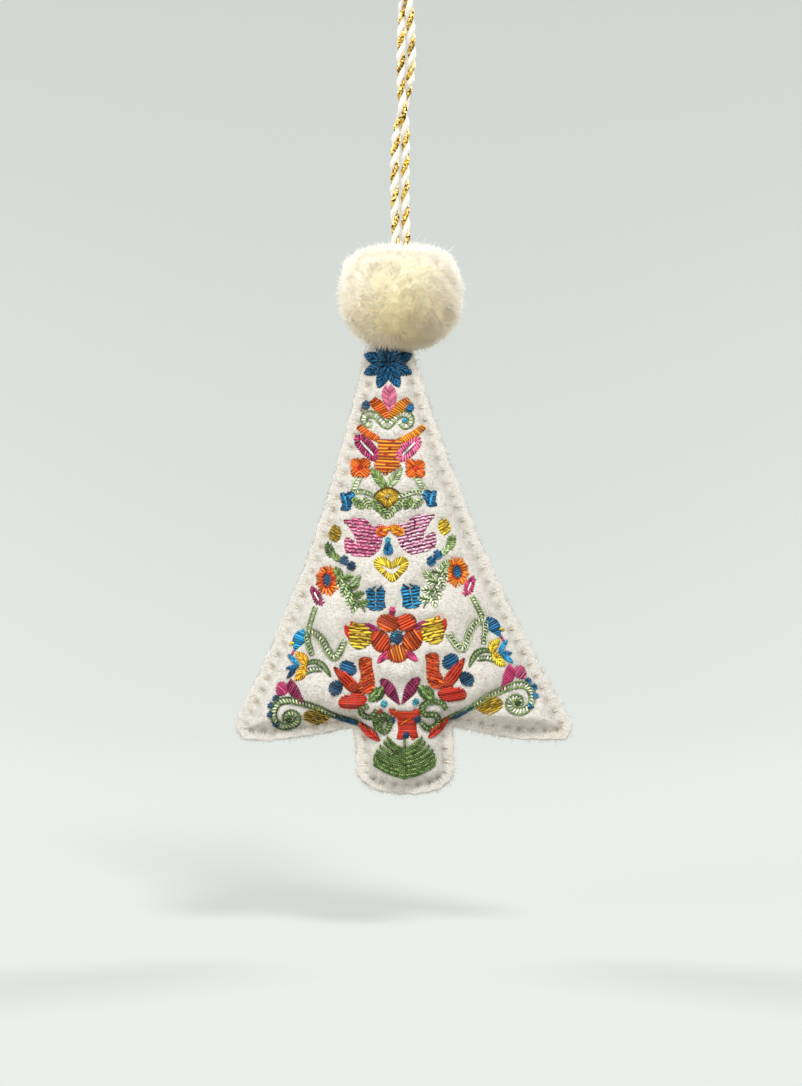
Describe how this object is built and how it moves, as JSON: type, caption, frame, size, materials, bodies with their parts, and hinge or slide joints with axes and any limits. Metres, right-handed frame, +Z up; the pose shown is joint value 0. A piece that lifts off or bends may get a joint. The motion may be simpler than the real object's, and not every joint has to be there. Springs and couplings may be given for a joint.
{
  "type": "felt christmas ornament",
  "caption": "Stuffed white felt tree with folk embroidery, overcast edge, yarn pompom and a hanging loop of two-colour cord.",
  "frame": {"origin": "the inside of the hanging loop's crown, where it rests on a hook", "axes": "+Z up along the hanging cord, +X to the viewer's right across the tree, -Y towards the viewer, the embroidered front"},
  "size_m": [0.0962, 0.035, 0.2561],
  "materials": {
    "cord_yarn": "soft two-ply cord, one white yarn ply and one crinkled gold metallic ply",
    "pompom_yarn": "cut pile of cream acrylic yarn, matt and fuzzy",
    "tie_thread": "twisted cotton thread",
    "white_felt": "warm white wool-blend felt, matt, mottled, with short fuzz",
    "polyester_fill": "polyester fibre filling",
    "seam_thread": "white cotton thread, soft sheen",
    "thread_blue": "stranded cotton, satin stitch",
    "thread_pink": "stranded cotton, satin stitch",
    "thread_orange": "stranded cotton, satin stitch",
    "thread_green": "stranded cotton, satin stitch",
    "thread_gold": "stranded cotton, satin stitch",
    "thread_red": "stranded cotton, satin stitch",
    "thread_yellow": "stranded cotton, satin stitch"
  },
  "bodies": {
    "loop": {"hanging_loop": "cord_yarn"},
    "knot": {"cord_knot": "cord_yarn"},
    "pompom": {"pompom_yarn": "pompom_yarn", "pompom_tie": "tie_thread", "anchor_thread": "tie_thread"},
    "tree": {"front_felt": "white_felt", "back_felt": "white_felt", "fibre_stuffing": "polyester_fill", "seam_right_side": "seam_thread", "seam_right_hem": "seam_thread", "seam_trunk": "seam_thread", "seam_left_hem": "seam_thread", "seam_left_side": "seam_thread", "crown_star": "thread_blue", "crown_bud": "thread_pink", "crown_leaves": "thread_orange", "ram_horns": "thread_green", "bell_flower": "thread_orange", "collar_leaves": "thread_green", "gold_eye": "thread_gold", "leaf_garland": "thread_green", "gold_heart": "thread_gold", "great_rosette": "thread_red", "leaf_pair": "thread_pink", "skirt_bell": "thread_red", "trunk_fern": "thread_green", "open_petal_left": "thread_pink", "open_petal_right": "thread_pink", "small_flower_left": "thread_orange", "small_flower_right": "thread_orange", "blue_tulip_left": "thread_blue", "blue_tulip_right": "thread_blue", "dove_left": "thread_pink", "dove_right": "thread_pink", "gold_bud_left": "thread_gold", "gold_bud_right": "thread_gold", "side_daisy_left": "thread_orange", "side_daisy_right": "thread_orange", "leaf_spray_left": "thread_green", "leaf_spray_right": "thread_green", "pink_diamond_left": "thread_pink", "pink_diamond_right": "thread_pink", "blue_square_left": "thread_blue", "blue_square_right": "thread_blue", "yellow_tulip_left": "thread_yellow", "yellow_tulip_right": "thread_yellow", "skirt_vine_left": "thread_green", "skirt_vine_right": "thread_green", "outer_flower_left": "thread_blue", "outer_flower_right": "thread_blue", "yellow_bud_left": "thread_yellow", "yellow_bud_right": "thread_yellow", "red_tulip_left": "thread_red", "red_tulip_right": "thread_red", "rim_flower_left": "thread_pink", "rim_flower_right": "thread_pink", "skirt_scroll_left": "thread_green", "skirt_scroll_right": "thread_green"}
  },
  "joints": [
    {"name": "swing_fore_aft", "type": "hinge", "parent": "loop", "child": "knot", "pos_m": [0, 0, -0.101], "axis": [1, 0, 0], "range_deg": [-30, 30]},
    {"name": "swing_sideways", "type": "hinge", "parent": "knot", "child": "pompom", "pos_m": [0, 0, -0.101], "axis": [0, 1, 0], "range_deg": [-30, 30]},
    {"name": "tree_turn", "type": "hinge", "parent": "pompom", "child": "tree", "pos_m": [-0.0037, 0, -0.1181], "axis": [0, 0, 1], "range_deg": [-60, 60]}
  ]
}
